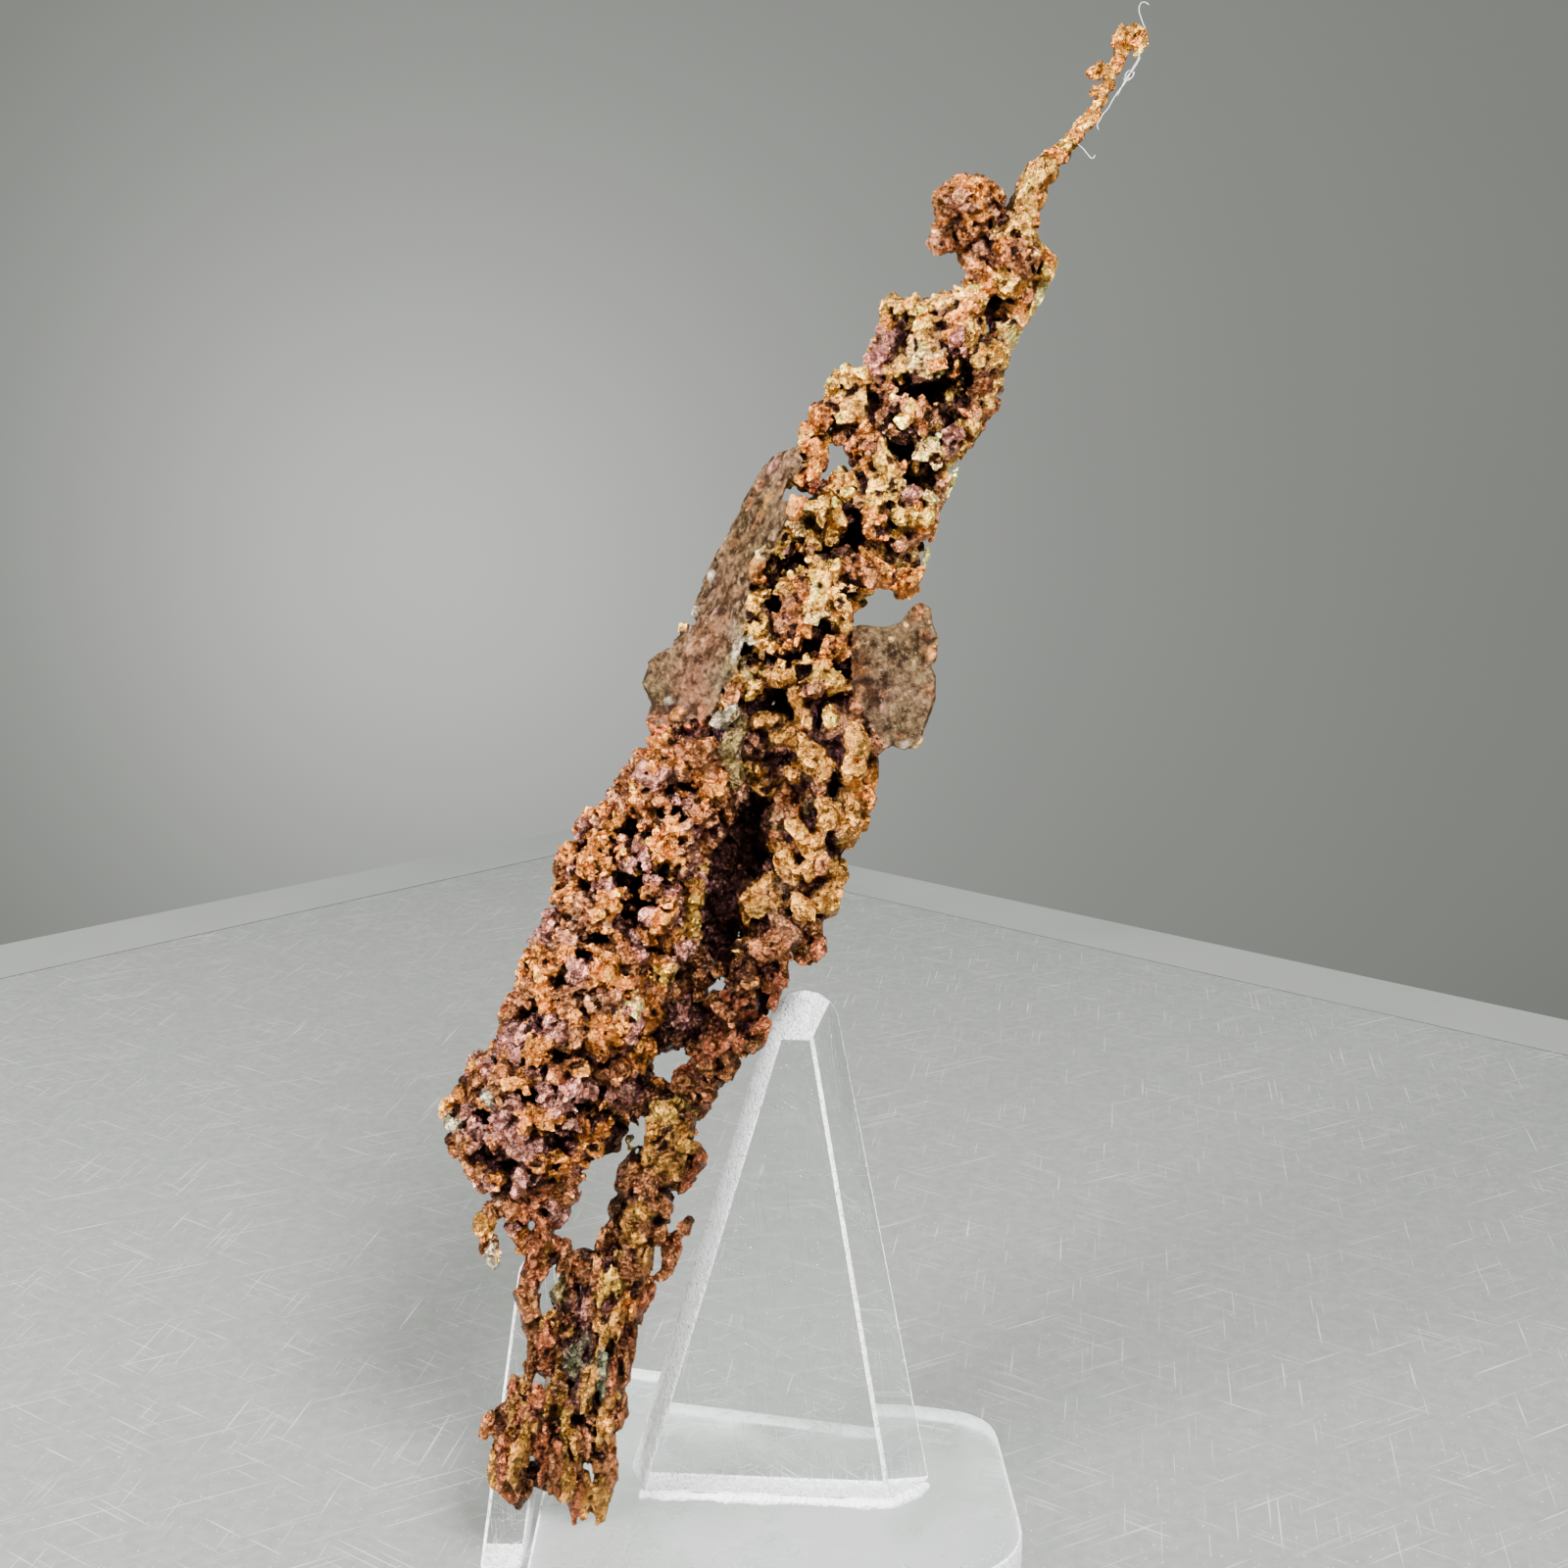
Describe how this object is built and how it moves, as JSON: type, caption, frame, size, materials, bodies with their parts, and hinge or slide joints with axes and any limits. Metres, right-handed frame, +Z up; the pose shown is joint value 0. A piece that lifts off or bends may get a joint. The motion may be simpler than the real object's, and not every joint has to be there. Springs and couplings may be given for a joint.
{
  "type": "native copper specimen on an easel",
  "caption": "Spongy, branching native copper with a thin spike, a smooth fin and see-through gaps, leaning on a clear acrylic easel",
  "frame": {"origin": "middle of the object's box in plan, on the surface it stands on", "axes": "+Z up, +Y towards the back of the easel, +X to the right as the specimen's face is seen"},
  "size_m": [0.0558, 0.0452, 0.1179],
  "materials": {
    "copper": "rough crystalline native copper, partly tarnished",
    "clear_acrylic": "clear cast acrylic with frosted sawn edges"
  },
  "bodies": {
    "root": {"native_copper": "copper", "easel_base": "clear_acrylic", "easel_back_support": "clear_acrylic", "easel_front_prong": "clear_acrylic"}
  },
  "joints": []
}
